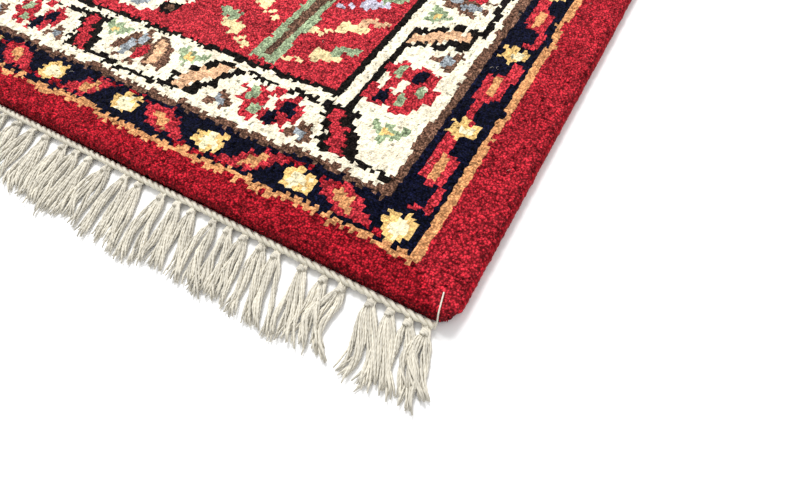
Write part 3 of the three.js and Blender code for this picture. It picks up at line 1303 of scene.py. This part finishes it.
def multiply(tree, first, second):
    return add_node(tree, "ShaderNodeMath", {0: first, 1: second}, operation="MULTIPLY").outputs["Value"]


def scale(tree, colour, amount):
    inputs = {0: colour, "Scale": amount}
    return add_node(tree, "ShaderNodeVectorMath", inputs, operation="SCALE").outputs["Vector"]


def bump(tree, height, strength, reach, invert=False):
    inputs = {"Height": height, "Strength": strength, "Distance": reach}
    return add_node(tree, "ShaderNodeBump", inputs, invert=invert).outputs["Normal"]


def wool(name, tuft_mm, low, high, bump_mm, hollow_painted_shade):
    material, tree = empty_material(name)
    dye = add_node(tree, "ShaderNodeAttribute", {}, attribute_name="wool").outputs["Color"]
    painted_light_value = add_node(tree, "ShaderNodeAttribute", {}, attribute_name="painted_light").outputs["Fac"]
    cells = texture(tree, "ShaderNodeTexVoronoi", tuft_mm, {"Randomness": 1.0}).outputs["Distance"]
    clump_inputs = {"Detail": 2.0, "Roughness": 0.6}
    clump = texture(tree, "ShaderNodeTexNoise", CLUMP_PER_TUFT * tuft_mm, clump_inputs).outputs["Fac"]
    # Painted light: a painted highlight in the middle of each tuft cell and painted shade at its edges,
    # clumps that are partly random tone and partly painted light and shade, and painted shade in the
    # hollows.
    painted_tuft_light = map_range(tree, cells, (0.12, 0.66, high, low))
    clump_tone_and_light = map_range(tree, clump, (0.35, 0.65, 0.62, 1.38))
    painted_hollows = map_range(tree, painted_light_value, (0.0, 1.0, hollow_painted_shade, 1.0), clamp=False)
    light = multiply(tree, multiply(tree, painted_tuft_light, clump_tone_and_light), painted_hollows)
    # The painted light and shade are softened on pale wools.
    pale = add_node(tree, "ShaderNodeRGBToBW", {"Color": dye}).outputs["Val"]
    soften_inputs = {"Factor": multiply(tree, pale, PALE_SOFTEN), "A": light, "B": 1.0}
    soft_light = add_node(tree, "ShaderNodeMix", soften_inputs, data_type="FLOAT").outputs["Result"]
    tint = scale(tree, dye, soft_light)
    normal = bump(tree, cells, 0.7, bump_mm * MM, invert=True)
    finish_material(tree, {"Base Color": tint, "Normal": normal, **WOOL_SURFACE})
    return material


def cotton(name, code, ply_mm):
    material, tree = empty_material(name)
    run = add_node(tree, "ShaderNodeUVMap", {}, uv_map="yarn").outputs["UV"]
    split = add_node(tree, "ShaderNodeSeparateXYZ", {"Vector": run}).outputs
    along = multiply(tree, split["Y"], 1 / (ply_mm * MM))
    turns = add_node(tree, "ShaderNodeMath", {0: split["X"], 1: 2.0, 2: along}, operation="MULTIPLY_ADD")
    angle = multiply(tree, turns.outputs["Value"], 2 * math.pi)
    ply = add_node(tree, "ShaderNodeMath", {0: angle}, operation="SINE").outputs["Value"]
    noise = texture(tree, "ShaderNodeTexNoise", 6.0, {"Detail": 3.0, "Roughness": 0.6}).outputs["Fac"]
    thread = add_node(tree, "ShaderNodeNewGeometry", {}).outputs["Random Per Island"]
    tone = map_range(tree, noise, (0.3, 0.7, 0.86, 1.04))
    # Painted shade in the grooves between the plies.
    painted_groove_shade = map_range(tree, ply, (-1.0, 0.2, 0.9, 1.0))
    own = map_range(tree, thread, (0.0, 1.0, 0.8, 1.12))
    tint = scale(tree, linear(code), multiply(tree, multiply(tree, tone, painted_groove_shade), own))
    normal = bump(tree, ply, 0.4, 0.12 * MM)
    finish_material(tree, {"Base Color": tint, "Normal": normal, **COTTON_SURFACE})
    return material


def plain(name, code, roughness):
    material, tree = empty_material(name)
    finish_material(tree, {"Base Color": (*linear(code), 1), "Roughness": roughness})
    return material


# For each wool: the painted light of a tuft cell from its edge (low) to its middle (high), and the painted
# shade in a hollow.
pile_wool = wool("dyed wool pile, painted light", tuft_mm=1.4, low=0.2, high=2.05, bump_mm=0.9, hollow_painted_shade=0.5)
wrapped_wool = wool("dyed wool yarn, painted light", tuft_mm=1.6, low=0.4, high=1.4, bump_mm=0.6, hollow_painted_shade=0.42)
woven_back = wool("knotted wool back", tuft_mm=2.4, low=0.6, high=1.15, bump_mm=0.4, hollow_painted_shade=1.0)
warp_cotton = cotton("twisted cotton warp", "#dfd9ca", ply_mm=2.6)
plait_cotton = cotton("plaited cotton", "#e2dccb", ply_mm=3.4)
pale_hair = plain("undyed wool hair", "#cfc4b2", roughness=0.9)
floor_white = plain("white paper floor", "#fdfdfd", roughness=0.8)
for piece in pile:
    piece.data.materials.append(pile_wool)
for piece in selvedges:
    piece.data.materials.append(wrapped_wool)
ground.data.materials.append(woven_back)
for plait, threads, knots in fringe.values():
    plait.data.materials.append(plait_cotton)
    threads.data.materials.append(warp_cotton)
    knots.data.materials.append(warp_cotton)
loose.data.materials.append(warp_cotton)
hairs.data.materials.append(pale_hair)
print("materials:", [m.name for m in bpy.data.materials if m.users])

# %% [markdown]
# ## What each piece stands for
# Each piece rides on the one body of the part, and the imported solids that the pieces take the place of
# are hidden.

# %% Ties to the part
everything = [*pile, ground, *selvedges, *fringe["near"], *fringe["far"], loose, hairs]
for piece in everything:
    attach(piece, "root")
for piece in (ground, *pile):
    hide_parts("rug_body")
for piece, node in zip(selvedges, ("selvedge_left", "selvedge_right")):
    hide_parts(node)
for end, pieces in fringe.items():
    for piece in pieces:
        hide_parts(f"fringe_{end}")
print(len(everything), "pieces,", sum(triangles(p) for p in everything), "triangles")

# %% [markdown]
# ## Floor, light and camera
# The photograph is a bright studio shot on white: a wide soft light from above and behind,
# and plenty of fill from all round.

# %% Floor and light
FLOOR_HALF = 3.0
FLOOR_DROP = 0.0002
FILL = 0.8
LAMP_PLACE = (-0.9, 0.9, 1.9)
LAMP_TARGET = (0.1, -0.2, 0)
LAMP_SIZE = 1.2
LAMP_POWER = 70
bpy.context.scene.view_settings.view_transform = "Standard"
floor_points = np.array([[-1, -1, 0], [1, -1, 0], [1, 1, 0], [-1, 1, 0]]) * FLOOR_HALF
floor = make_object("floor", floor_points - [0, 0, FLOOR_DROP], [[[0, 1, 2, 3]]], smooth_groups=0)
floor.data.materials.append(floor_white)

world = bpy.data.worlds.new("studio")
world.use_nodes = True
backdrop = world.node_tree.nodes["Background"]
backdrop.inputs["Color"].default_value = (1, 1, 1, 1)
backdrop.inputs["Strength"].default_value = FILL
bpy.context.scene.world = world


def set_up(name, data, place, axes):
    thing = bpy.data.objects.new(name, data)
    turn = Matrix([[*row, 0] for row in np.column_stack(axes)] + [[0, 0, 0, 1]])
    thing.matrix_world = Matrix.Translation(place) @ turn
    bpy.context.collection.objects.link(thing)
    return thing


lamp = bpy.data.lights.new("overhead", "AREA")
lamp.shape = "DISK"
lamp.size = LAMP_SIZE
lamp.energy = LAMP_POWER
aim = unit(np.subtract(LAMP_TARGET, LAMP_PLACE))
right = unit(np.cross(aim, (0, 1, 0.01)))
lamp_object = set_up("overhead", lamp, LAMP_PLACE, (right, np.cross(right, aim), -aim))
print("floor and", len(bpy.data.lights), "light")

# %% [markdown]
# The camera is close, low over the corner, so the lens is short. Its place and turn come from
# the border lines, which are straight and square on the rug, so their slopes in the photograph
# fix the view. Its height over the pile is the unit for its other distances.

# %% Camera
VIEW_UNIT = 208 * MM
STAND_OUT_X = 0.1394
STAND_OUT_Y = 0.4178
SENSOR_MM = 36
# The lens as a share of the picture's width, both in pixels.
LENS_SHARE = 485 / 800
TURN, TILT, ROLL = (math.radians(a) for a in (-32.8, 57.9, 3.8))
forward = np.array([math.sin(TURN) * math.cos(TILT), math.cos(TURN) * math.cos(TILT), -math.sin(TILT)])
level = np.array([math.cos(TURN), -math.sin(TURN), 0])
down = np.cross(forward, level)
image_right = math.cos(ROLL) * level + math.sin(ROLL) * down
image_down = -math.sin(ROLL) * level + math.cos(ROLL) * down
stand = (
    RUG_WIDTH / 2 + STAND_OUT_X * VIEW_UNIT,
    -RUG_LENGTH / 2 - STAND_OUT_Y * VIEW_UNIT,
    RUG_THICK + VIEW_UNIT,
)
camera_data = bpy.data.cameras.new("camera")
camera_data.sensor_width = SENSOR_MM
camera_data.lens = LENS_SHARE * SENSOR_MM
camera_data.clip_start = 0.01
camera = set_up("camera", camera_data, stand, (image_right, -image_down, -forward))
bpy.context.scene.camera = camera
print("camera at", [round(n, 3) for n in stand], "with a lens of", round(camera_data.lens, 1), "mm")
